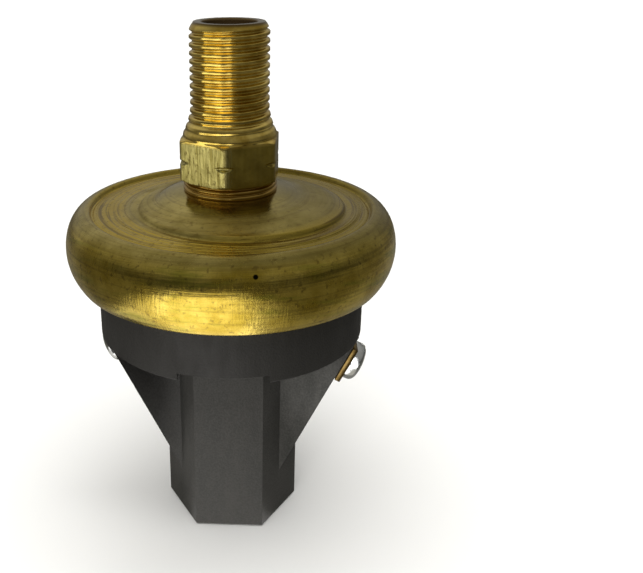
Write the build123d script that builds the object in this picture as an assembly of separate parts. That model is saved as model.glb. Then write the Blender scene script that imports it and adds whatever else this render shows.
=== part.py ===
from build123d import *
from math import atan2, degrees, sqrt
import os

# Diaphragm pressure switch, millimetres, +Z up towards the pressure port.
# The origin is the centre of the column's lower face. The front is -Y, the terminals are at +X and -X.

# ---- driving dimensions ----
# Moulded base
column_flats = 16.0          # hexagonal column, across flats, flats towards +Y and -Y
column_radius = column_flats / sqrt(3)
collar_r = 17.7
collar_z = 28.0              # lower face of the collar
flange_r = 19.9
flange_z = 36.7              # lower face of the flange that the cap is curled under
flange_top = 40.6
flange_chamfer = 1.0
wedge_half_width = 17.2      # wedge beside the column, at the collar
wedge_half_depth = 4.1
wedge_foot_z = 11.6          # where the slanted face runs into the column's side corner
notch_half_width = 5.6       # cut in the collar's lower edge, front and back
notch_height = 1.1
edge_break = 0.3

# Cavities of the base
chamber_r = 14.0
chamber_floor = 30.4
guide_seat_r = 15.0
guide_seat_z = 37.4
column_bore_r = 4.05

# Terminals, on the slanted faces
terminal_up_slant = 14.0     # from the wedge's foot, up along the slanted face
terminal_offset = 2.0        # off centre, towards the front on the right and the back on the left
clamp_side = 5.3
clamp_thick = 0.7
head_r = 2.65                # M3 pan head
head_high = 1.65
head_round = 0.6
slot_wide = 0.8
slot_deep = 0.9
shank_r = 1.45
shank_long = 6.0
insert_r = 1.9
insert_long = 6.8
insert_bore_r = 1.5
insert_bore_deep = 6.2

# Contacts
strip_thick = 0.6
strip_width = 5.0
strip_inner_x = 5.6
strip_leg_x = 9.6            # inner face of the leg that runs down to the insert
strip_leg_foot = 25.0
strip_offset = 0.9
contact_x = 8.0
contact_r = 1.5
contact_high = 0.7
rivet_tail_r = 0.8
contact_gap = 0.85
bridge_half = 10.0
bridge_width = 5.0
bridge_thick = 0.5

# Plunger and springs
stem_r = 2.5
thin_stem_r = 1.6
stem_shoulder_z = 36.0
boss_r = 4.0
boss_z = 39.85
guide_thick = 1.6
guide_clearance = 0.05
plate_r = 10.5
plate_thick = 1.0
cup_r = 3.8
cup_z = 27.6
cup_thick = 1.2
cup_floor = 0.4
seat_r = 3.9
seat_z = 8.3
seat_thick = 1.2
seat_pip_r = 2.3
seat_pip_high = 1.5
range_wire_r = 0.45
range_coil_r = 3.2
range_pitch = 1.9
contact_wire_r = 0.2
contact_coil_r = 2.15
contact_pitch = 0.62
adjuster_r = 4.0             # M8 x 1
adjuster_z = 3.3
socket_flats = 4.0
socket_deep = 3.0

# Diaphragm stack
stack_r = 19.4
gasket_inner_r = 16.6
layer_thick = 0.6            # gasket and diaphragm
support_inner_r = 15.0
support_thick = 1.8
diaphragm_pad_r = 9.0
diaphragm_pad_high = 0.5

# Brass cap, outside shape
cap_wall = 1.0
cap_hole_r = 4.0
cap_top = 47.3
cap_flat_r = 7.0
cap_step_r = 13.4
cap_step_z = 45.2
groove_r = 18.03
groove_z = 44.6
rim_r = 21.6
rim_z = 40.4                 # height of the widest place
lip_z = 35.7
lip_inner_r = 18.0

# Brass port fitting
thread_r = 5.0               # M10 x 1
port_top = 68.4
port_chamfer = 0.6
thread_foot = 58.2           # below it the stem flares out to the hexagon
hex_flats = 12.0
hex_radius = hex_flats / sqrt(3)
hex_z = 48.9
hex_corner_z = 54.0          # where the flare's cone leaves the corners
hex_turn = -3.5              # about Z, away from a corner facing the front
hex_line_z = 51.5            # turned line that nicks the corners
hex_line_wide = 0.45
hex_line_r = 6.45
neck_r = 5.9
stake_r = 5.0
stake_high = 0.7
port_bore_r = 3.4
port_bore_foot = 56.0
passage_r = 1.25

slant = degrees(atan2(wedge_half_width - column_radius, collar_z - wedge_foot_z))
diaphragm_z = flange_top + support_thick
strip_top = chamber_floor + strip_thick
fixed_top = strip_top + contact_high
bridge_z = fixed_top + contact_gap + contact_high


def rod(radius, low, high, x=0.0, y=0.0):
    """Upright cylinder between two heights."""
    return Pos(x, y, low) * Cylinder(radius, high - low, align=(Align.CENTER, Align.CENTER, Align.MIN))


def tube(outer, inner, low, high):
    return rod(outer, low, high) - rod(inner, low - 1, high + 1)


def block(x0, x1, y0, y1, low, high):
    """Box between two corners."""
    middle = Pos((x0 + x1) / 2, (y0 + y1) / 2, (low + high) / 2)
    return middle * Box(x1 - x0, y1 - y0, high - low)


def hexagon(flats, low, high, turn=0.0):
    """Upright hexagonal bar, corners at +X and -X before it is turned."""
    face = Rot(0, 0, turn) * RegularPolygon(flats / sqrt(3), 6)
    return Pos(0, 0, low) * extrude(face, amount=high - low)


def turned(edges):
    """Solid of revolution about Z from connected edges drawn in X (radius) and Y (height)."""
    face = make_face(edges)
    return revolve(Plane.XZ * face, axis=Axis.Z)


def coil(wire_r, coil_r, pitch, low, high):
    """Helical spring whose wire touches both heights."""
    path = Helix(pitch=pitch, height=high - low - 2 * wire_r, radius=coil_r)
    section = Plane(origin=path @ 0, z_dir=path % 0) * Circle(wire_r)
    return Pos(0, 0, low + wire_r) * sweep(section, path=path, is_frenet=True)


def on_side(side, shape):
    """Right-hand piece as it is, or turned half a turn about Z for the left."""
    return shape if side == "right" else Rot(0, 0, 180) * shape


# Origin on the right slanted face under the screw, local X pointing straight out of the face
terminal_at = Pos(
    column_radius + terminal_up_slant * (wedge_half_width - column_radius)
    / sqrt((wedge_half_width - column_radius) ** 2 + (collar_z - wedge_foot_z) ** 2),
    -terminal_offset,
    wedge_foot_z + terminal_up_slant * (collar_z - wedge_foot_z)
    / sqrt((wedge_half_width - column_radius) ** 2 + (collar_z - wedge_foot_z) ** 2),
) * Rot(0, slant, 0)


def out_rod(radius, start, end):
    """Cylinder along the right terminal's axis, between two distances out of the slanted face."""
    along = Rot(0, 90, 0) * Cylinder(radius, end - start, align=(Align.CENTER, Align.CENTER, Align.MIN))
    return terminal_at * (Pos(start, 0, 0) * along)


# ---- brass port fitting ----
def port_fitting():
    """Threaded nipple at its crest size, flared root, hexagon with a turned line, neck and staked end."""
    flare_mid = ((thread_r + 0.32), (thread_foot + hex_corner_z) / 2 - 0.2)
    stem = turned([
        Line((0, port_top), (thread_r - port_chamfer, port_top)),
        Line((thread_r - port_chamfer, port_top), (thread_r, port_top - port_chamfer)),
        Line((thread_r, port_top - port_chamfer), (thread_r, thread_foot)),
        ThreePointArc((thread_r, thread_foot), flare_mid, (hex_radius, hex_corner_z)),
        Line((hex_radius, hex_corner_z), (hex_radius, hex_z)),
        Line((hex_radius, hex_z), (0, hex_z)),
        Line((0, hex_z), (0, port_top)),
    ])
    bar = hexagon(hex_flats, hex_z, port_top, 30 + hex_turn)
    body = stem & bar
    body -= tube(hex_radius + 1, hex_line_r, hex_line_z - hex_line_wide / 2, hex_line_z + hex_line_wide / 2)
    body += rod(neck_r, cap_top, hex_z)
    body += rod(cap_hole_r, cap_top - cap_wall - stake_high, cap_top)
    body += rod(stake_r, cap_top - cap_wall - stake_high, cap_top - cap_wall)
    body -= rod(port_bore_r, port_bore_foot, port_top + 1)
    body -= rod(passage_r, cap_top - cap_wall - stake_high - 1, port_bore_foot)
    return body


# ---- brass cap ----
def pressure_cap():
    """Pressed shell of one wall thickness, from the fitting's hole to the lip curled under the flange."""
    w = cap_wall
    crest_r = groove_r + 0.5
    crest_z = groove_z + 0.6
    lip_r = lip_inner_r + 1.9
    widest = (rim_r, rim_z)
    widest_inside = (rim_r - w, rim_z)
    rim_wide = rim_r - crest_r
    rim_high = crest_z - rim_z
    return turned([
        Line((cap_hole_r, cap_top), (cap_flat_r, cap_top)),
        Line((cap_flat_r, cap_top), (cap_step_r, cap_step_z)),
        Line((cap_step_r, cap_step_z), (groove_r, groove_z)),
        Line((groove_r, groove_z), (crest_r, crest_z)),
        EllipticalCenterArc((crest_r, rim_z), rim_wide, rim_high, arc_size=90),
        TangentArc(widest, (lip_r, lip_z), tangent=(0, -1)),
        Line((lip_r, lip_z), (lip_inner_r, lip_z)),
        Line((lip_inner_r, lip_z), (lip_inner_r, flange_z)),
        Line((lip_inner_r, flange_z), (lip_r - w, flange_z)),
        TangentArc(widest_inside, (lip_r - w, flange_z), tangent=(0, -1)),
        EllipticalCenterArc((crest_r, rim_z), rim_wide - w, rim_high - w, arc_size=90),
        Line((crest_r, crest_z - w), (groove_r, groove_z - w)),
        Line((groove_r, groove_z - w), (cap_step_r, cap_step_z - w)),
        Line((cap_step_r, cap_step_z - w), (cap_flat_r, cap_top - w)),
        Line((cap_flat_r, cap_top - w), (cap_hole_r, cap_top - w)),
        Line((cap_hole_r, cap_top - w), (cap_hole_r, cap_top)),
    ])


# ---- diaphragm stack ----
def sealing_gasket():
    return tube(stack_r, gasket_inner_r, diaphragm_z + layer_thick, groove_z - cap_wall)


def diaphragm():
    low = diaphragm_z
    return rod(stack_r, low, low + layer_thick) + rod(diaphragm_pad_r, low, low + layer_thick + diaphragm_pad_high)


def support_ring():
    return tube(stack_r, support_inner_r, flange_top, diaphragm_z)


# ---- moving parts ----
def pressure_plate():
    return rod(plate_r, diaphragm_z - plate_thick, diaphragm_z)


def plunger():
    """Boss under the pressure plate, guided stem, and the thin stem that carries bridge and cup."""
    body = rod(boss_r, boss_z, diaphragm_z - plate_thick)
    body += rod(stem_r, stem_shoulder_z, boss_z)
    body += rod(thin_stem_r, cup_z + cup_floor, stem_shoulder_z)
    return body


def guide_plate():
    return tube(guide_seat_r, stem_r + guide_clearance, guide_seat_z, guide_seat_z + guide_thick)


def contact_bridge():
    """Flat strip with a hole for the stem and one for each rivet."""
    strip = block(-bridge_half, bridge_half, -bridge_width / 2, bridge_width / 2, bridge_z, bridge_z + bridge_thick)
    strip -= rod(thin_stem_r, bridge_z - 1, bridge_z + 1)
    for x in (-contact_x, contact_x):
        strip -= rod(rivet_tail_r, bridge_z - 1, bridge_z + 1, x)
    return strip


def moving_contacts():
    """Two rivets, heads below the bridge."""
    rivets = []
    for x in (-contact_x, contact_x):
        head = rod(contact_r, bridge_z - contact_high, bridge_z, x)
        rivets.append(head + rod(rivet_tail_r, bridge_z, bridge_z + bridge_thick, x))
    return Compound(rivets)


def contact_spring():
    return coil(contact_wire_r, contact_coil_r, contact_pitch, bridge_z + bridge_thick, stem_shoulder_z)


def spring_cup():
    """Flange on the range spring, and a neck up to the underside of the bridge."""
    body = rod(cup_r, cup_z, cup_z + cup_thick) + rod(stem_r, cup_z, bridge_z)
    return body - rod(thin_stem_r, cup_z + cup_floor, bridge_z + 1)


def range_spring():
    return coil(range_wire_r, range_coil_r, range_pitch, seat_z + seat_thick, cup_z)


def spring_seat():
    low = seat_z + seat_thick
    return rod(seat_r, seat_z, low) + rod(seat_pip_r, low, low + seat_pip_high)


def adjusting_screw():
    """Plug in the column's bore, with a hexagon socket in its lower end."""
    return rod(adjuster_r, adjuster_z, seat_z) - hexagon(socket_flats, adjuster_z - 1, adjuster_z + socket_deep)


# ---- terminals, right-hand side ----
def terminal_screw():
    """Slotted pan head and plain shank at the thread's size."""
    head_foot = clamp_thick
    head = out_rod(head_r, head_foot, head_foot + head_high)
    rim = head.edges().filter_by(GeomType.CIRCLE).sort_by(SortBy.DISTANCE)
    top = max(rim, key=lambda edge: edge.center().X - edge.center().Z)
    head = fillet(top, head_round)
    cut = Pos(head_foot + head_high, 0, 0) * Box(2 * slot_deep, slot_wide, 3 * head_r)
    return head - terminal_at * cut + out_rod(shank_r, head_foot - shank_long, head_foot)


def clamp_plate():
    plate = terminal_at * (Pos(clamp_thick / 2, 0, 0) * Box(clamp_thick, clamp_side, clamp_side))
    return plate - out_rod(shank_r + 0.15, -1, clamp_thick + 1)


def terminal_insert():
    return out_rod(insert_r, -insert_long, 0) - out_rod(insert_bore_r, -insert_bore_deep, 1)


def contact_strip():
    """Strip on the chamber's floor, with a leg down to the insert's inner end."""
    y0 = -strip_offset - strip_width / 2
    y1 = y0 + strip_width
    leg_out = strip_leg_x + strip_thick
    strip = block(strip_inner_x, leg_out, y0, y1, chamber_floor, strip_top)
    strip += block(strip_leg_x, leg_out, y0, y1, strip_leg_foot, chamber_floor)
    strip -= rod(rivet_tail_r, chamber_floor - 1, strip_top + 1, contact_x)
    return strip - out_rod(insert_r, -insert_long, 0)


def fixed_contact():
    return rod(contact_r, strip_top, fixed_top, contact_x) + rod(rivet_tail_r, chamber_floor, strip_top, contact_x)


# ---- moulded base ----
def base_housing():
    """Collar, flange, hexagonal column and side wedges in one moulding, hollow inside."""
    slope = (wedge_half_width - column_radius) / (collar_z - wedge_foot_z)
    inner_x = 6.0
    inner_z = collar_z - (wedge_half_width - inner_x) / slope
    wedge = extrude(
        Plane.XZ * make_face(Polyline(
            (wedge_half_width, collar_z), (inner_x, inner_z),
            (-inner_x, inner_z), (-wedge_half_width, collar_z), close=True)),
        amount=wedge_half_depth, both=True)
    column = hexagon(column_flats, 0, collar_z)
    column = chamfer(column.faces().sort_by(Axis.Z)[0].edges(), edge_break)
    collar = turned([
        Line((0, collar_z), (collar_r - edge_break, collar_z)),
        Line((collar_r - edge_break, collar_z), (collar_r, collar_z + edge_break)),
        Line((collar_r, collar_z + edge_break), (collar_r, flange_z)),
        Line((collar_r, flange_z), (flange_r - flange_chamfer, flange_z)),
        Line((flange_r - flange_chamfer, flange_z), (flange_r, flange_z + 1.5 * flange_chamfer)),
        Line((flange_r, flange_z + 1.5 * flange_chamfer), (flange_r, flange_top)),
        Line((flange_r, flange_top), (0, flange_top)),
        Line((0, flange_top), (0, collar_z)),
    ])
    for side in (-1, 1):
        far = side * (collar_r + 1)
        near = side * column_flats / 2
        y0, y1 = sorted((near, far))
        collar -= block(-notch_half_width, notch_half_width, y0, y1, collar_z - 1, collar_z + notch_height)
    body = collar + column + wedge
    body -= rod(chamber_r, chamber_floor, flange_top + 1)
    body -= rod(guide_seat_r, guide_seat_z, flange_top + 1)
    body -= rod(column_bore_r, -1, chamber_floor + 1)
    for side in ("right", "left"):
        body -= on_side(side, out_rod(insert_r, -insert_long, 3))
        body -= on_side(side, block(
            strip_leg_x, strip_leg_x + strip_thick,
            -strip_offset - strip_width / 2, -strip_offset + strip_width / 2,
            strip_leg_foot, chamber_floor + 1))
    return body


single_parts = {
    "port_fitting": port_fitting,
    "pressure_cap": pressure_cap,
    "sealing_gasket": sealing_gasket,
    "diaphragm": diaphragm,
    "support_ring": support_ring,
    "pressure_plate": pressure_plate,
    "plunger": plunger,
    "guide_plate": guide_plate,
    "contact_bridge": contact_bridge,
    "moving_contacts": moving_contacts,
    "contact_spring": contact_spring,
    "spring_cup": spring_cup,
    "range_spring": range_spring,
    "spring_seat": spring_seat,
    "adjusting_screw": adjusting_screw,
    "base_housing": base_housing,
}
terminal_parts = {
    "terminal_screw": terminal_screw,
    "clamp_plate": clamp_plate,
    "terminal_insert": terminal_insert,
    "contact_strip": contact_strip,
    "fixed_contact": fixed_contact,
}

os.makedirs("parts", exist_ok=True)
for name, make in single_parts.items():
    export_step(make(), f"parts/{name}.step")
for name, make in terminal_parts.items():
    for side in ("right", "left"):
        export_step(on_side(side, make()), f"parts/{name}_{side}.step")
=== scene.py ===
import math

import bpy
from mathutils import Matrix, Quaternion, Vector


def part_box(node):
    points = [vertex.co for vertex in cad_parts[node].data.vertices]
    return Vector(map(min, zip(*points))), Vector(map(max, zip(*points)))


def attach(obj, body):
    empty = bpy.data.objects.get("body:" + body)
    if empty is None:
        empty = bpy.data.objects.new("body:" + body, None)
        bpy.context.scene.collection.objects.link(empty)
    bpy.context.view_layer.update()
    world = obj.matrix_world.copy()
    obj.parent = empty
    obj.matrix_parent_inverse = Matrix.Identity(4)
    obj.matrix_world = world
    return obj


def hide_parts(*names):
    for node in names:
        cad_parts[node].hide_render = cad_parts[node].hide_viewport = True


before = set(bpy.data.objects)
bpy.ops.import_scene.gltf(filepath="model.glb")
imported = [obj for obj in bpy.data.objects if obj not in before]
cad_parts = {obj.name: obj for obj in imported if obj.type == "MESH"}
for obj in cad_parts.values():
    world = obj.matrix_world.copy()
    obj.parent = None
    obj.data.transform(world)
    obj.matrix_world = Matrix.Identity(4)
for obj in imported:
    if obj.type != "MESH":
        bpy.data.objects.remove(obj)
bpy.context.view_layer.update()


# ---------------------------------------------------------------------------------------------
# Moulded base: collar, hexagonal column and two wedges in one piece of black glass-filled nylon.
# The mould leaves a fine pebbled skin, slightly rounded edges and faint flow marks down the column.
# The cap is curled under its flange.
mm = 0.001
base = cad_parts["base_housing"]
base_edge_round = 0.22 * mm
pebble_size = 0.26 * mm
flow_mark_size = 2.5 * mm
nylon_dark = (0.040, 0.040, 0.037)
nylon_light = (0.082, 0.080, 0.075)
nylon_darker_collar = (0.031, 0.030, 0.028)
collar_foot = 27.4 * mm                  # above this height the plastic is darker


def new_finish(name, colour, metallic, roughness):
    """Material with its plain values on the shader, and the shader itself."""
    material = bpy.data.materials.new(name)
    material.use_nodes = True
    shader = material.node_tree.nodes["Principled BSDF"]
    shader.inputs["Base Color"].default_value = (*colour, 1.0)
    shader.inputs["Metallic"].default_value = metallic
    shader.inputs["Roughness"].default_value = roughness
    return material, shader


def add_node(material, kind, **values):
    """Node with the named settings or input values."""
    node = material.node_tree.nodes.new(kind)
    for key, value in values.items():
        if hasattr(node, key):
            setattr(node, key, value)
        else:
            node.inputs[key.replace("_", " ")].default_value = value
    return node


def wire(material, source, target):
    material.node_tree.links.new(source, target)


def own_place(material):
    """Position on the piece, in metres."""
    return add_node(material, "ShaderNodeTexCoord").outputs["Object"]


def stretched(material, place, size, stretch=(1, 1, 1)):
    """Position counted in grains of the given size, longer along the stretched axes."""
    node = add_node(material, "ShaderNodeVectorMath", operation="MULTIPLY")
    wire(material, place, node.inputs[0])
    node.inputs[1].default_value = [1 / (size * s) for s in stretch]
    return node.outputs[0]


def grain(material, place, detail=3.0, roughness=0.55):
    """Soft noise, about 0.3 to 0.7."""
    node = add_node(material, "ShaderNodeTexNoise", Scale=1.0, Detail=detail, Roughness=roughness)
    wire(material, place, node.inputs["Vector"])
    return node.outputs["Fac"]


def between(material, value, low, high, from_low=0.3, from_high=0.7):
    """Value spread smoothly over a new range."""
    node = add_node(material, "ShaderNodeMapRange", interpolation_type="SMOOTHSTEP")
    wire(material, value, node.inputs["Value"])
    for key, number in (("From Min", from_low), ("From Max", from_high), ("To Min", low), ("To Max", high)):
        node.inputs[key].default_value = number
    return node.outputs["Result"]


def share_of(material, noise):
    """Noise spread over the whole of 0 to 1."""
    return between(material, noise, 0.0, 1.0)


def colours(material, value, first, second):
    """Colour between two colours; either may be another colour output."""
    node = add_node(material, "ShaderNodeMix", data_type="RGBA")
    wire(material, value, node.inputs["Factor"])
    for socket, colour in ((node.inputs[6], first), (node.inputs[7], second)):
        if isinstance(colour, tuple):
            socket.default_value = (*colour, 1.0)
        else:
            wire(material, colour, socket)
    return node.outputs[2]


def sum_of(material, first, second, operation="ADD"):
    """Arithmetic on two values; the second may be a plain number."""
    node = add_node(material, "ShaderNodeMath", operation=operation)
    wire(material, first, node.inputs[0])
    if isinstance(second, (int, float)):
        node.inputs[1].default_value = second
    else:
        wire(material, second, node.inputs[1])
    return node.outputs[0]


def product(material, first, second):
    return sum_of(material, first, second, "MULTIPLY")


def along_axis(material, place, axis):
    """One coordinate of a position."""
    split = add_node(material, "ShaderNodeSeparateXYZ")
    wire(material, place, split.inputs[0])
    return split.outputs[axis]


def relief(material, shader, height, depth, before=None):
    """Fine unevenness of that depth, on top of another if one is given."""
    node = add_node(material, "ShaderNodeBump", Strength=1.0, Distance=depth)
    wire(material, height, node.inputs["Height"])
    if before is not None:
        wire(material, before, node.inputs["Normal"])
    wire(material, node.outputs["Normal"], shader.inputs["Normal"])
    return node.outputs["Normal"]


def nylon(name, dark, light, darker_above=None):
    """Pebbled skin, faint flow marks, light dust; darker above a height if one is given."""
    material, shader = new_finish(name, dark, 0.0, 0.6)
    shader.inputs["Specular IOR Level"].default_value = 0.3
    place = own_place(material)
    pebbles = grain(material, stretched(material, place, pebble_size), detail=2.0)
    flow_place = stretched(material, place, flow_mark_size, (1, 1, 3))
    flow = grain(material, flow_place, detail=5.0, roughness=0.65)
    shade = sum_of(material, product(material, flow, 0.6), product(material, pebbles, 0.4))
    dusty = colours(material, share_of(material, shade), dark, light)
    # above that height the plastic is simply given a darker tone
    if darker_above is not None:
        height = along_axis(material, place, "Z")
        upper = between(material, height, 0.0, 1.0, darker_above - 0.5 * mm, darker_above + 0.5 * mm)
        dusty = colours(material, upper, dusty, nylon_darker_collar)
    wire(material, dusty, shader.inputs["Base Color"])
    wire(material, between(material, flow, 0.52, 0.68), shader.inputs["Roughness"])
    relief(material, shader, pebbles, 0.05 * mm)
    return material


def dress(piece, material):
    """One finish all over a piece."""
    piece.data.materials.clear()
    piece.data.materials.append(material)


def round_edges(piece, width, segments=3, angle=32):
    """Small radius along the sharp edges, as a tool or mould leaves them."""
    weld = piece.modifiers.new("closed", "WELD")
    weld.merge_threshold = 0.0005 * mm
    bevel = piece.modifiers.new("rounded", "BEVEL")
    bevel.width = width
    bevel.segments = segments
    bevel.limit_method = "ANGLE"
    bevel.angle_limit = math.radians(angle)
    bevel.harden_normals = True
    for face in piece.data.polygons:
        face.use_smooth = True


dress(base, nylon("moulded_nylon", nylon_dark, nylon_light, collar_foot))
round_edges(base, base_edge_round)


# ---------------------------------------------------------------------------------------------
# Inside the base: the plunger that the diaphragm pushes, its guide plate, the contact bridge with
# its rivets and spring, and the set-point spring between cup and seat. Natural nylon, stamped
# brass, silver alloy and plated steel.
def stamped(name, dark, light, roughness, mark_size):
    """Stamped or drawn metal: rolling marks along one way, patches of dullness."""
    material, shader = new_finish(name, light, 1.0, roughness)
    place = own_place(material)
    marks = grain(material, stretched(material, place, mark_size, (8, 1, 1)), detail=3.0)
    patches = grain(material, stretched(material, place, 1.6 * mm), detail=4.0)
    patched = colours(material, share_of(material, patches), dark, light)
    wire(material, patched, shader.inputs["Base Color"])
    uneven = between(material, patches, roughness + 0.12, roughness - 0.06)
    wire(material, uneven, shader.inputs["Roughness"])
    relief(material, shader, marks, 0.006 * mm)
    return material


plated_steel = stamped("plated_steel", (0.42, 0.42, 0.42), (0.62, 0.62, 0.61), 0.34, 0.10 * mm)
spring_wire = stamped("drawn_spring_wire", (0.30, 0.30, 0.31), (0.50, 0.50, 0.50), 0.36, 0.08 * mm)
stamped_brass = stamped("stamped_brass", (0.52, 0.36, 0.12), (0.80, 0.60, 0.24), 0.30, 0.10 * mm)
silver_alloy = stamped("silver_alloy", (0.68, 0.67, 0.64), (0.86, 0.85, 0.82), 0.28, 0.12 * mm)
natural_nylon = nylon("natural_nylon", (0.52, 0.47, 0.38), (0.66, 0.62, 0.52))
black_rubber = nylon("black_rubber", (0.018, 0.018, 0.018), (0.034, 0.034, 0.034))

finish_of = {
    "plunger": natural_nylon,
    "guide_plate": natural_nylon,
    "pressure_plate": plated_steel,
    "support_ring": plated_steel,
    "spring_seat": plated_steel,
    "contact_bridge": stamped_brass,
    "spring_cup": stamped_brass,
    "moving_contacts": silver_alloy,
    "contact_spring": spring_wire,
    "range_spring": spring_wire,
    "sealing_gasket": black_rubber,
    "diaphragm": black_rubber,
}
for side in ("right", "left"):
    finish_of["terminal_insert_" + side] = stamped_brass
    finish_of["contact_strip_" + side] = stamped_brass
    finish_of["fixed_contact_" + side] = silver_alloy
for node_name, material in finish_of.items():
    dress(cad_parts[node_name], material)


# ---------------------------------------------------------------------------------------------
# Brass cap: a disc pressed and spun to a shallow dome with an inner step and a groove, its edge
# rolled over and curled under the base's flange. Satin from spinning, tarnished on top, polished
# by handling low on the rim.
low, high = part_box("pressure_cap")
cap_foot = low.z
rim_radius = high.x
cap_top = high.z
step_centre = (1.5 * mm, -0.7 * mm)      # the press struck the inner step a little off centre
step_radius = 13.2 * mm
groove_radius = 18.03 * mm
groove_height = cap_top - 2.7 * mm
rim_crest_radius = 18.55 * mm
rim_crest_height = groove_height + 0.6 * mm
rim_height = cap_foot + 4.7 * mm         # where the rim is widest
lip_radius = 19.9 * mm
lip_inner_radius = 18.0 * mm
hole_radius = 4.0 * mm                   # for the fitting's spigot
crown_radius = 6.1 * mm                  # the flat round the hole
sheet = 1.0 * mm
cap_columns = 360
band_rows = 44                           # rings across the band between step and groove
pit_place = (3.9 * mm, -20.57 * mm, 43.39 * mm)   # small dark spot on the front


def closed_turning(name, rings):
    """Closed mesh from rings of equal count that follow each other round the section."""
    count = len(rings[0])
    points = [point for ring in rings for point in ring]
    faces = []
    for i in range(len(rings)):
        j = (i + 1) % len(rings)
        for k in range(count):
            m = (k + 1) % count
            faces.append((i * count + k, i * count + m, j * count + m, j * count + k))
    mesh = bpy.data.meshes.new(name)
    mesh.from_pydata(points, [], faces)
    mesh.update()
    for face in mesh.polygons:
        face.use_smooth = True
    piece = bpy.data.objects.new(name, mesh)
    bpy.context.scene.collection.objects.link(piece)
    return piece


def arc(centre, radii, start, end, steps):
    """Points of an elliptical arc in radius and height, angles in degrees from the outward side."""
    angles = [math.radians(start + (end - start) * i / steps) for i in range(steps + 1)]
    return [(centre[0] + radii[0] * math.cos(a), centre[1] + radii[1] * math.sin(a)) for a in angles]


def blended(points, steps):
    """Points on a smooth curve through a few given ones."""
    out = []
    for i in range(len(points) - 1):
        quad = (points[max(i - 1, 0)], points[i], points[i + 1], points[min(i + 2, len(points) - 1)])
        for step in range(steps):
            t = step / steps
            out.append(tuple(0.5 * (
                2 * b + (c - a) * t + (2 * a - 5 * b + 4 * c - d) * t * t + (3 * b - a - 3 * c + d) * t ** 3)
                for a, b, c, d in zip(*quad)))
    return out + [points[-1]]


def cap_section():
    """Outside from the fitting's hole to the lip, then back along the inside."""
    def stepped(*steps):
        return [(step_radius + out * mm, cap_top - down * mm) for out, down in steps]

    dome = blended([
        (hole_radius, cap_top), (crown_radius, cap_top), (8.0 * mm, cap_top - 0.38 * mm),
        (10.5 * mm, cap_top - 1.02 * mm)] + stepped((-0.9, 1.55), (-0.25, 1.72)), 4)
    dome += stepped((0.0, 1.86), (0.12, 2.12), (0.24, 2.32), (0.45, 2.36), (0.70, 2.30))
    band_start = (14.3 * mm, cap_top - 2.27 * mm)
    band_end = (groove_radius - 0.35 * mm, cap_top - 2.58 * mm)
    for row in range(band_rows + 1):
        share = row / band_rows
        radius = band_start[0] + (band_end[0] - band_start[0]) * share
        ridge = 0.022 * mm * math.sin(radius / mm * 15.0) + 0.018 * mm * math.sin(radius / mm * 7.3 + 1.0)
        dome.append((radius, band_start[1] + (band_end[1] - band_start[1]) * share + ridge))
    rise = [(groove_radius + out * mm, groove_height + up * mm) for out, up in (
        (-0.14, -0.02), (0.0, -0.10), (0.14, 0.10), (0.26, 0.36), (0.38, 0.53))]
    crest_to_rim = (rim_radius - rim_crest_radius, rim_crest_height - rim_height)
    roll = arc((rim_crest_radius, rim_height), crest_to_rim, 88, 0, 34)
    inward, down = rim_radius - lip_radius, rim_height - cap_foot
    lower_radius = (inward ** 2 + down ** 2) / (2 * inward)
    sweep = math.degrees(math.asin((down - 0.25 * mm) / lower_radius))
    tuck = arc((rim_radius - lower_radius, rim_height), (lower_radius, lower_radius), -2, -sweep, 22)
    hem = [(lip_radius - 0.10 * mm, cap_foot + 0.06 * mm), (lip_radius - 0.35 * mm, cap_foot),
           (lip_inner_radius + 0.15 * mm, cap_foot), (lip_inner_radius, cap_foot + 0.15 * mm),
           (lip_inner_radius, cap_foot + sheet)]
    inside = [(lip_radius - sheet, cap_foot + sheet), (rim_radius - 1.3 * sheet, cap_foot + 2.5 * sheet),
              (rim_radius - sheet, rim_height), (rim_radius - 1.6 * sheet, rim_height + 2.4 * sheet),
              (rim_crest_radius, rim_crest_height - sheet), (groove_radius, groove_height - sheet),
              (step_radius, cap_top - 2.3 * mm - sheet), (crown_radius, cap_top - sheet),
              (hole_radius, cap_top - sheet)]
    return dome + rise + roll + tuck + hem + inside


def step_shift(radius):
    """Share of the inner step's offset felt at a radius."""
    rise = min(max((radius / mm - 8.0) / 4.0, 0.0), 1.0)
    fall = min(max((17.4 - radius / mm) / 3.0, 0.0), 1.0)
    share = min(rise, fall)
    return share * share * (3 - 2 * share)


def cap_rings():
    rings = []
    for radius, height in cap_section():
        share = step_shift(radius)
        ring = []
        for k in range(cap_columns):
            angle = 2 * math.pi * k / cap_columns
            ring.append((
                radius * math.cos(angle) + share * step_centre[0],
                radius * math.sin(angle) + share * step_centre[1],
                height))
        rings.append(ring)
    return rings


def vector_math(material, operation, first, second=None, output=0):
    """Vector arithmetic; the second may be a plain vector."""
    node = add_node(material, "ShaderNodeVectorMath", operation=operation)
    wire(material, first, node.inputs[0])
    if isinstance(second, tuple):
        node.inputs[1].default_value = second
    elif second is not None:
        wire(material, second, node.inputs[1])
    return node.outputs[output]


def flattened(material, place):
    return vector_math(material, "MULTIPLY", place, (1, 1, 0))


def off_axis(material, place):
    """Distance from the axis."""
    return vector_math(material, "LENGTH", flattened(material, place), output="Value")


def spun_place(material, place, line_size, run_size):
    """Position for marks that run round the axis: fine across, long along."""
    across = add_node(material, "ShaderNodeCombineXYZ")
    wire(material, product(material, off_axis(material, place), 1 / line_size), across.inputs["X"])
    wire(material, product(material, along_axis(material, place, "Z"), 1 / line_size), across.inputs["Y"])
    return vector_math(material, "ADD", across.outputs[0], stretched(material, place, run_size))


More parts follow.
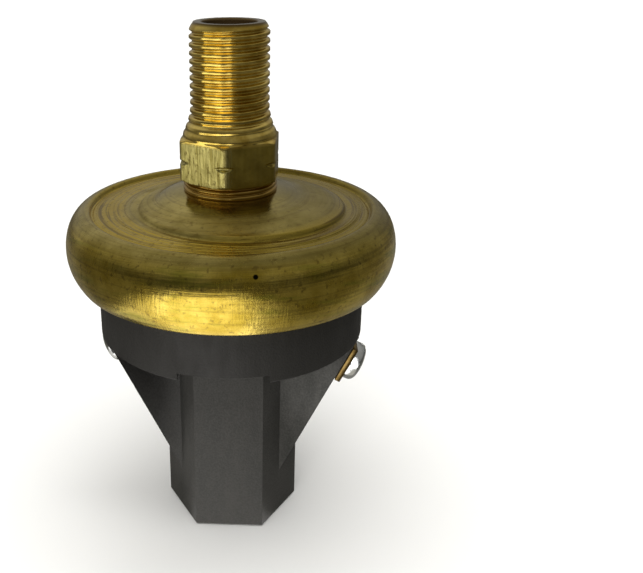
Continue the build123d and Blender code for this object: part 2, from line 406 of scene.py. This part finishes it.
def upright_place(material, place, line_size, run_size):
    """Position for marks that run up and down a round wall."""
    unit = vector_math(material, "NORMALIZE", flattened(material, place))
    fine = vector_math(material, "MULTIPLY", unit, (rim_radius / line_size,) * 3)
    along = vector_math(material, "MULTIPLY", place, (0, 0, 1 / run_size))
    return vector_math(material, "ADD", fine, along)


def height_share(material, place, bottom, top):
    """0 below one height, 1 above another."""
    return between(material, along_axis(material, place, "Z"), 0.0, 1.0, bottom, top)


def ring_zone(material, place, inner, outer, softness):
    """1 between two radii, 0 elsewhere."""
    radius = off_axis(material, place)
    rising = between(material, radius, 0.0, 1.0, inner - softness, inner + softness)
    falling = between(material, radius, 1.0, 0.0, outer - softness, outer + softness)
    return product(material, rising, falling)


def spun_brass():
    """Spun brass: lines round the axis, handling strokes on the rim, khaki tarnish on top."""
    material, shader = new_finish("spun_brass", (0.80, 0.58, 0.12), 1.0, 0.25)
    place = own_place(material)
    lines = grain(material, spun_place(material, place, 0.13 * mm, 8 * mm), detail=4.0, roughness=0.6)
    broad = grain(material, spun_place(material, place, 1.0 * mm, 9 * mm), detail=3.0)
    grime = grain(material, spun_place(material, place, 0.42 * mm, 13 * mm), detail=4.0, roughness=0.6)
    stroke_place = upright_place(material, place, 0.26 * mm, 2.0 * mm)
    strokes = grain(material, stroke_place, detail=5.0, roughness=0.65)
    tarnish = grain(material, stretched(material, place, 5.0 * mm), detail=7.0, roughness=0.62)
    streaks = grain(material, spun_place(material, place, 1.5 * mm, 7 * mm), detail=5.0, roughness=0.6)
    spots = grain(material, stretched(material, place, 0.55 * mm), detail=4.0)

    top = height_share(material, place, groove_height - 1.2 * mm, groove_height + 0.3 * mm)
    on_rim = sum_of(material, product(material, top, -1.0), 1.0)
    outer_band = ring_zone(material, place, step_radius + 0.6 * mm, groove_radius + 0.4 * mm, 0.6 * mm)
    by_neck = ring_zone(material, place, 0.0, 9.4 * mm, 1.8 * mm)
    flank = ring_zone(material, place, 9.6 * mm, step_radius + 0.2 * mm, 0.9 * mm)
    # the top is made darker and browner towards its right side
    browner = between(material, along_axis(material, place, "X"), 0.0, 0.55, -3 * mm, 11 * mm)

    bright = colours(material, share_of(material, tarnish), (0.50, 0.35, 0.035), (0.93, 0.71, 0.15))
    rim_streaks = between(material, streaks, 0.0, 0.8, 0.50, 0.72)
    rim_colour = colours(material, rim_streaks, bright, (0.44, 0.40, 0.05))
    dull = colours(material, share_of(material, tarnish), (0.34, 0.265, 0.065), (0.56, 0.45, 0.14))
    top_streaks = between(material, streaks, 0.0, 0.8, 0.48, 0.72)
    top_colour = colours(material, top_streaks, dull, (0.44, 0.33, 0.075))
    golden = colours(material, product(material, outer_band, 0.8), top_colour, (0.62, 0.44, 0.055))
    browned = colours(material, browner, golden, (0.20, 0.155, 0.030))
    plain = colours(material, top, rim_colour, browned)
    grime_share = sum_of(material, product(material, outer_band, 0.45), 0.30)
    dirty = product(material, between(material, grime, 0.0, 1.0, 0.50, 0.66), grime_share)
    grimed = colours(material, dirty, plain, (0.16, 0.10, 0.018))
    spotted = colours(material, between(material, spots, 0.0, 0.6, 0.54, 0.72), grimed, (0.18, 0.12, 0.028))
    from_pit = vector_math(material, "DISTANCE", place, pit_place, "Value")
    pitted = between(material, from_pit, 1.0, 0.0, 0.22 * mm, 0.36 * mm)
    wire(material, colours(material, pitted, spotted, (0.01, 0.008, 0.004)), shader.inputs["Base Color"])

    dusted = sum_of(material, product(material, flank, 0.12), product(material, top, 0.05))
    wire(material, between(material, dusted, 1.0, 0.0, 0.0, 1.0), shader.inputs["Metallic"])
    polish = between(material, product(material, sum_of(material, strokes, tarnish), 0.5), 0.30, 0.13)
    satin = between(material, product(material, sum_of(material, streaks, tarnish), 0.5), 0.36, 0.18)
    smoother = sum_of(material, satin, product(material, by_neck, 0.10), "SUBTRACT")
    top_roughness = product(material, top, sum_of(material, smoother, product(material, flank, 0.14)))
    rim_roughness = product(material, on_rim, polish)
    wire(material, sum_of(material, top_roughness, rim_roughness), shader.inputs["Roughness"])

    worked = relief(material, shader, broad, 0.040 * mm)
    turned = relief(material, shader, lines, 0.010 * mm, worked)
    relief(material, shader, product(material, strokes, on_rim), 0.030 * mm, turned)
    return material


cap = closed_turning("spun_cap", cap_rings()[::-1])
dress(cap, spun_brass())
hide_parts("pressure_cap")
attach(cap, "housing")


# ---------------------------------------------------------------------------------------------
# Port fitting: turned from hexagonal brass bar, with a rolled M10 x 1 thread that runs out on a
# flared root. The bar's corners are skimmed, a line is turned round them, and two small beads
# under the hexagon are staked to the cap.
low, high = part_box("port_fitting")
fitting_foot = low.z
port_top = high.z
thread_radius = 5.0 * mm
thread_pitch = 1.0 * mm
thread_depth = 0.38 * mm
thread_start = port_top - 6.55 * mm      # height of a crest at the front
flare_start = port_top - 10.2 * mm
full_thread_end = port_top - 11.4 * mm
runout_end = port_top - 13.5 * mm
first_turn = port_top - 0.75 * mm
flat_radius = 6.0 * mm                   # hexagon, centre to flat
corner_radius = 6.80 * mm
hex_low = cap_top + 1.6 * mm
hex_high = hex_low + 5.1 * mm
hex_turn = math.radians(-3.5)
line_height = hex_low + 2.6 * mm
bore_radius = 3.4 * mm
bore_floor = port_top - 12.4 * mm
passage_radius = 1.25 * mm               # from the bore down to the diaphragm
spigot_radius = 5.0 * mm                 # staked over inside the cap
sextant_columns = 36                     # columns of points in a sixth of a turn
bar_rows = 76                            # rings of points up the bar
stem_rows = 208                          # and up the stem, sixteen to a turn of thread
neck = ((5.9, -0.02), (5.98, 0.05), (6.06, 0.18), (6.08, 0.33), (6.02, 0.47), (5.84, 0.56), (5.76, 0.64),
        (5.84, 0.72), (5.98, 0.82), (6.02, 0.95), (5.98, 1.08), (5.85, 1.20), (5.62, 1.28), (5.62, 1.42),
        (5.75, 1.55))                    # radius and height above the cap, mm: two staked beads
mouth = ((4.30, -0.02), (4.22, 0.0), (3.62, 0.0), (3.52, -0.04), (3.42, -0.16), (3.40, -0.32))


def fitting_angles():
    """Columns round the axis, closer together near the hexagon's corners."""
    half = sextant_columns // 2
    angles = []
    for corner in range(6):
        middle = math.radians(-90 + 60 * corner) + hex_turn
        for i in range(-half, half):
            share = i / half
            angles.append(middle + math.copysign(abs(share) ** 1.5, share) * math.radians(30))
    return angles


def softer_min(a, b, softness):
    """Smaller of two radii, with the edge between them rounded."""
    mix = max(softness - abs(a - b), 0.0) / softness
    return min(a, b) - mix * mix * softness / 4


def flare(z):
    """Radius of the stem and its flared root."""
    if z >= flare_start:
        return thread_radius
    curved = thread_radius + 1.1 * mm * ((flare_start - z) / (3.75 * mm)) ** 1.7
    return max(curved, flat_radius + 0.05 * mm + (hex_high + 0.6 * mm - z) * 1.5)


def thread_cut(angle, z):
    """Depth of the thread's groove at a place on the stem."""
    turns = (z - thread_start) / thread_pitch - (angle + math.pi / 2) / (2 * math.pi)
    off_crest = abs(((turns + 0.5) % 1.0) - 0.5) * 2
    flank = min(max((off_crest - 0.30) / 0.56, 0.0), 1.0)
    fade = min(max((z - runout_end) / (full_thread_end - runout_end), 0.0), 1.0)
    fade *= min(max((port_top - 0.35 * mm - z) / (port_top - 0.35 * mm - first_turn), 0.0), 1.0)
    return thread_depth * fade ** 0.8 * (0.6 * flank + 0.4 * flank * flank * (3 - 2 * flank))


def stem_radius(angle, z):
    """Stem with its thread, rounded over at the top."""
    down = min((port_top - z) / (1.15 * mm), 1.0)
    shoulder = thread_radius - 0.58 * mm * (1 - down) ** 1.6
    return softer_min(flare(z) - thread_cut(angle, z), shoulder + (0.0 if down < 1 else mm), 0.06 * mm)


def bar_radius(angle, z):
    """Hexagonal bar with skimmed corners, chamfered ends and the turned line."""
    off_flat = ((angle - hex_turn + math.pi / 2) % (math.pi / 3)) - math.pi / 6
    radius = softer_min(flat_radius / math.cos(off_flat), corner_radius, 0.06 * mm)
    radius = softer_min(radius, flare(z) if z > line_height else radius + mm, 0.10 * mm)
    radius = softer_min(radius, flat_radius + 0.32 * mm + (z - hex_low) * 1.5, 0.08 * mm)
    nick = corner_radius - 0.42 * mm + ((z - line_height) / (0.30 * mm)) ** 2 * 0.40 * mm
    return softer_min(radius, nick, 0.04 * mm)


def fitting_rings():
    """Outside from the neck to the mouth, then down the bore and back under the cap."""
    angles = fitting_angles()

    def ring(radius_at, z):
        return [(radius_at(a) * math.cos(a), radius_at(a) * math.sin(a), z) for a in angles]

    def plain(radius, z):
        return ring(lambda a: radius, z)

    rings = [plain(radius * mm, cap_top + above * mm) for radius, above in neck]
    rings.append(plain(flat_radius - 0.10 * mm, hex_low))
    for i in range(bar_rows + 1):
        z = hex_low + 0.01 * mm + (hex_high + 0.3 * mm - hex_low) * i / bar_rows
        rings.append(ring(lambda a: bar_radius(a, z), z))
    stem_low = hex_high + 0.32 * mm
    for i in range(1, stem_rows + 1):
        z = stem_low + (port_top - stem_low) * i / stem_rows
        if z < hex_high + mm:
            rings.append(ring(lambda a: min(stem_radius(a, z), bar_radius(a, z)), z))
        else:
            rings.append(ring(lambda a: stem_radius(a, z), z))
    rings += [plain(radius * mm, port_top + above * mm) for radius, above in mouth]
    for radius, z in (
            (bore_radius, bore_floor), (passage_radius, bore_floor - 1.2 * mm),
            (passage_radius, fitting_foot), (spigot_radius - 0.1 * mm, fitting_foot),
            (spigot_radius, fitting_foot + 0.1 * mm), (spigot_radius, cap_top - sheet),
            (hole_radius, cap_top - sheet), (hole_radius, cap_top - 0.02 * mm)):
        rings.append(plain(radius, z))
    return rings


def down_the_bore(material, place):
    """1 inside the bore, 0 outside it."""
    return between(material, off_axis(material, place), 1.0, 0.0, bore_radius, bore_radius + 0.15 * mm)


def turned_brass():
    """Turned brass: tool lines round the thread, saw marks down the left flats; painted light on the left
    flats, painted shade on the other flats, under the hexagon and down the bore.
    """
    material, shader = new_finish("turned_brass", (0.84, 0.60, 0.17), 1.0, 0.2)
    place = own_place(material)
    lines = grain(material, spun_place(material, place, 0.07 * mm, 7 * mm), detail=2.0)
    saw = grain(material, stretched(material, place, 0.30 * mm, (1, 1, 14)), detail=5.0, roughness=0.65)
    chips = grain(material, stretched(material, place, 0.42 * mm, (1, 1, 1.8)), detail=5.0, roughness=0.6)
    tarnish = grain(material, stretched(material, place, 2.6 * mm), detail=6.0, roughness=0.6)

    above = height_share(material, place, hex_high - 0.2 * mm, hex_high + 0.3 * mm)
    under = height_share(material, place, hex_low - 0.1 * mm, hex_low + 0.1 * mm)
    on_bar = sum_of(material, under, above, "SUBTRACT")
    on_end = height_share(material, place, port_top - 0.45 * mm, port_top - 0.05 * mm)
    # the left flats carry real saw marks and are also painted paler as painted light; the other flats are
    # painted darker as painted shade
    sawn_and_lit_side = between(material, along_axis(material, place, "X"), 1.0, 0.12, -0.3 * mm, 0.9 * mm)
    inside = down_the_bore(material, place)

    clean = share_of(material, tarnish)
    stem_colour = colours(material, clean, (0.52, 0.34, 0.05), (0.94, 0.71, 0.19))
    flat_in_painted_shade = colours(material, clean, (0.28, 0.20, 0.028), (0.52, 0.39, 0.07))
    sawn_flat_painted_lit = colours(material, share_of(material, saw), (0.30, 0.25, 0.07), (0.74, 0.66, 0.27))
    chip_share = between(material, chips, 0.0, 0.8, 0.53, 0.70)
    chipped = colours(material, chip_share, sawn_flat_painted_lit, (0.15, 0.11, 0.03))
    bar_colour = colours(material, sawn_and_lit_side, flat_in_painted_shade, chipped)
    outside = colours(material, on_bar, stem_colour, bar_colour)
    # below the hexagon the neck is painted darker, as painted shade under the bar
    with_painted_shade_neck = colours(material, under, (0.46, 0.29, 0.065), outside)
    ended = colours(material, on_end, with_painted_shade_neck, (0.15, 0.10, 0.032))
    # down the bore the colour is painted near black, as painted shade in the hole
    wire(material, colours(material, inside, ended, (0.045, 0.026, 0.008)), shader.inputs["Base Color"])
    wire(material, between(material, inside, 1.0, 0.4, 0.0, 1.0), shader.inputs["Metallic"])

    sawn_bar = product(material, on_bar, sawn_and_lit_side)
    smooth = between(material, tarnish, 0.24, 0.13)
    rougher = sum_of(material, smooth, product(material, sawn_bar, 0.18))
    roughest = sum_of(material, rougher, product(material, inside, 0.4))
    wire(material, roughest, shader.inputs["Roughness"])
    sawn = product(material, sum_of(material, saw, chips), sawn_bar)
    first = relief(material, shader, sawn, 0.050 * mm)
    worn = relief(material, shader, tarnish, 0.030 * mm, first)
    relief(material, shader, lines, 0.004 * mm, worn)
    return material


fitting = closed_turning("port_union", fitting_rings())
dress(fitting, turned_brass())
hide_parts("port_fitting")
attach(fitting, "housing")


# ---------------------------------------------------------------------------------------------
# Screw terminals: zinc-plated pan head screws over stamped brass clamp plates, on the slanted
# faces of the wedges. The screws run in the brass bushes moulded into the base.
zinc = stamped("bright_zinc", (0.60, 0.62, 0.62), (0.88, 0.89, 0.88), 0.16, 0.10 * mm)
browned_brass = stamped("browned_brass", (0.17, 0.11, 0.035), (0.36, 0.25, 0.09), 0.34, 0.12 * mm)
for side in ("right", "left"):
    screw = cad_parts["terminal_screw_" + side]
    dress(screw, zinc)
    round_edges(screw, 0.06 * mm, 2)
    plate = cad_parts["clamp_plate_" + side]
    dress(plate, browned_brass)
    round_edges(plate, 0.10 * mm, 2)


# ---------------------------------------------------------------------------------------------
# Adjuster: a brass plug with a hexagon socket, screwed up into the column from below.
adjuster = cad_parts["adjusting_screw"]
dress(adjuster, stamped_brass)
round_edges(adjuster, 0.08 * mm, 2)


# ---------------------------------------------------------------------------------------------
# Studio: a wide pale floor under soft overhead light, and a key light from the left front. The
# metal mirrors a dim room and lit sheets instead of the floor; they are hidden from the camera.
# The camera looks down at 21 degrees.
floor_reach = 8000                       # millimetres each way


def floor_paint():
    material, shader = new_finish("pale_floor", (0.86, 0.86, 0.85), 0.0, 0.8)
    place = own_place(material)
    cloud = grain(material, stretched(material, place, 60 * mm), detail=3.0)
    clouded = colours(material, cloud, (0.84, 0.84, 0.83), (0.88, 0.88, 0.87))
    wire(material, clouded, shader.inputs["Base Color"])
    return material


def lying_sheet(name, corners, height):
    """Flat sheet lying level; corners in millimetres."""
    mesh = bpy.data.meshes.new(name)
    mesh.from_pydata([(x * mm, y * mm, height) for x, y in corners], [], [tuple(range(len(corners)))])
    sheet_object = bpy.data.objects.new(name, mesh)
    bpy.context.scene.collection.objects.link(sheet_object)
    return sheet_object


def glow(name, colour, strength):
    """Even glow without any reflection of its own."""
    material = bpy.data.materials.new(name)
    material.use_nodes = True
    shader = material.node_tree.nodes["Principled BSDF"]
    shader.inputs["Base Color"].default_value = (0, 0, 0, 1)
    shader.inputs["Specular IOR Level"].default_value = 0.0
    shader.inputs["Emission Color"].default_value = (*colour, 1.0)
    shader.inputs["Emission Strength"].default_value = strength
    return material


def card_black():
    material, shader = new_finish("black_card", (0.02, 0.02, 0.02), 0.0, 0.9)
    fibre = grain(material, stretched(material, own_place(material), 1.0 * mm))
    wire(material, between(material, fibre, 0.85, 0.95), shader.inputs["Roughness"])
    return material


def aim(thing, target):
    """Turns a light towards a place."""
    thing.rotation_euler = (Vector(target) - thing.location).to_track_quat("-Z", "Y").to_euler()


def hang(name, light, place, target):
    """Puts a light in the scene, hidden from the camera and turned towards a place."""
    holder = bpy.data.objects.new(name, light)
    bpy.context.scene.collection.objects.link(holder)
    holder.location = place
    aim(holder, target)
    holder.visible_camera = False
    return holder


def daylight(name, place, strength, spread, colour):
    """Wide soft light from the direction of a place; metal doesn't mirror it."""
    lamp = bpy.data.lights.new(name, "SUN")
    lamp.energy = strength
    lamp.angle = math.radians(spread)
    lamp.color = colour
    hang(name, lamp, place, (0, 0, 0)).visible_glossy = False


def soft_panel(name, width, height, energy, colour, place, target, lit, unblocked=False):
    """Panel of light for one piece only; if unblocked, no other piece throws its shadow on it."""
    light = bpy.data.lights.new(name, "AREA")
    light.shape = "RECTANGLE"
    light.size, light.size_y = width, height
    light.energy = energy
    light.color = colour
    holder = hang(name, light, place, target)
    pieces = bpy.data.collections.new("lit_by_" + name)
    pieces.objects.link(lit)
    holder.light_linking.receiver_collection = pieces
    if unblocked:
        holder.light_linking.blocker_collection = pieces


whole_floor = [(-floor_reach, -floor_reach), (floor_reach, -floor_reach), (floor_reach, floor_reach),
               (-floor_reach, floor_reach)]
floor = lying_sheet("floor", whole_floor, 0.0)
dress(floor, floor_paint())
floor.visible_glossy = False
floor.visible_diffuse = False
floor.visible_shadow = False

# name, corners, height in millimetres, colour, strength, whether it lights dull surfaces too
table_sheets = (
    ("dim_table", whole_floor, -0.6, (1.0, 0.95, 0.80), 0.115, True),
    ("near_right", [(16, -30), (70, -12), (130, 30), (150, 160), (0, 160), (0, 10)], -0.4,
     (1.0, 0.97, 0.88), 0.22, True),
    ("near_left", [(0, 160), (-150, 160), (-130, 60), (-60, 30), (-20, 10), (0, 10)], -0.4,
     (1.0, 0.96, 0.86), 0.20, True),
    ("half_strip", [(6, -4), (24, -22), (34, -60), (52, -130), (44, -200), (28, -202), (14, -60)], -0.3,
     (1.0, 0.96, 0.84), 0.42, False),
    ("bright_strip", [(6, -4), (14, -60), (28, -202), (46, -430), (-25, -430), (-60, -250), (-115, -225),
                      (-100, -140), (-74, -76), (-12, -8)], -0.2, (1.0, 0.97, 0.94), 1.7, False),
    ("soft_side", [(-12, -8), (-74, -76), (-80, -66), (-53, -25), (-40, 12), (-18, 6)], -0.25,
     (1.0, 0.96, 0.90), 0.72, False),
)
for name, corners, height, colour, strength, lights_dull in table_sheets:
    table_sheet = lying_sheet(name, corners, height * mm)
    dress(table_sheet, glow(name, colour, strength))
    table_sheet.visible_diffuse = lights_dull
    table_sheet.visible_camera = False

daylight("overhead", (-0.02, -0.12, 1.0), 3.2, 75, (1.0, 0.995, 0.98))
daylight("key", (-0.28, -0.95, 0.27), 1.4, 36, (1.0, 0.985, 0.95))
soft_panel("screw_glow", 0.035, 0.10, 0.030, (1.0, 1.0, 1.0), (0.022, -0.070, 0.026),
           (0.0165, -0.002, 0.024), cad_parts["terminal_screw_right"])
soft_panel("low_glow", 0.17, 0.12, 0.088, (1.0, 0.98, 0.82), (-0.110, -0.092, 0.006), (0, 0, 0.052),
           fitting, unblocked=True)

# the right wedge gets a small spot of its own, and a black card shades the left one
kick = bpy.data.lights.new("kick", "SPOT")
kick.energy = 1.9
kick.spot_size = math.radians(3.2)
kick.spot_blend = 0.7
kick.shadow_soft_size = 0.004
hang("kick", kick, (-0.030, -0.260, 0.024), (0.0135, -0.0041, 0.0200)).visible_glossy = False
flag = lying_sheet("flag", [(-20, 12.5), (-9.5, 12.5), (-9.5, 27.5), (-20, 27.5)], 0.0)
flag.rotation_euler = (math.pi / 2, 0.0, 0.0)
flag.location = (0.0, -10.5 * mm, 0.0)
flag.visible_camera = False
dress(flag, card_black())


# direction, how near to it the light begins and is full (cosines), strength
room_lights = (
    ((-0.50, 0.80, 0.33), 0.25, 0.95, 0.14),
    ((0.0, 1.0, 0.1), 0.0, 0.9, 0.13),
    ((0.0, 0.0, 1.0), 0.10, 0.75, 0.20),
)
room_least = 0.045                       # strength everywhere


def room():
    """Dim room: lighter towards the back, above all on the left, and towards the ceiling."""
    world = bpy.data.worlds.new("room")
    world.use_nodes = True
    tree = world.node_tree
    background = tree.nodes["Background"]
    place = tree.nodes.new("ShaderNodeTexCoord")
    total = None
    for towards, start, end, strength in room_lights:
        share = tree.nodes.new("ShaderNodeVectorMath")
        share.operation = "DOT_PRODUCT"
        tree.links.new(place.outputs["Generated"], share.inputs[0])
        share.inputs[1].default_value = towards
        spread = tree.nodes.new("ShaderNodeMapRange")
        spread.interpolation_type = "SMOOTHSTEP"
        tree.links.new(share.outputs["Value"], spread.inputs["Value"])
        for key, number in (("From Min", start), ("From Max", end), ("To Min", 0.0), ("To Max", strength)):
            spread.inputs[key].default_value = number
        joined = tree.nodes.new("ShaderNodeMath")
        tree.links.new(spread.outputs["Result"], joined.inputs[0])
        joined.inputs[1].default_value = room_least
        if total is not None:
            tree.links.new(total, joined.inputs[1])
        total = joined.outputs[0]
    tree.links.new(total, background.inputs["Strength"])
    background.inputs["Color"].default_value = (1.0, 0.98, 0.92, 1.0)
    return world


bpy.context.scene.world = room()

focal_length = 47.81337                  # millimetres, on a sensor 36 mm wide
camera_turn = math.radians(3.352)
camera_distance = 0.106714
camera_height = 0.079474
camera_pitch = math.radians(20.999)
camera_roll = math.radians(-0.365)
lens = bpy.data.cameras.new("camera")
lens.sensor_width = 36.0
lens.lens = focal_length
lens.shift_x = 0.141
lens.shift_y = -0.0555
lens.clip_start = 0.005
lens.clip_end = 30.0
camera = bpy.data.objects.new("camera", lens)
bpy.context.scene.collection.objects.link(camera)
camera.location = (
    camera_distance * math.sin(camera_turn), -camera_distance * math.cos(camera_turn), camera_height)
camera.rotation_mode = "QUATERNION"
camera.rotation_quaternion = (
    Quaternion((0, 0, 1), camera_turn) @ Quaternion((1, 0, 0), math.pi / 2 - camera_pitch)
    @ Quaternion((0, 0, 1), camera_roll))
bpy.context.scene.camera = camera
bpy.context.scene.view_settings.view_transform = "Standard"
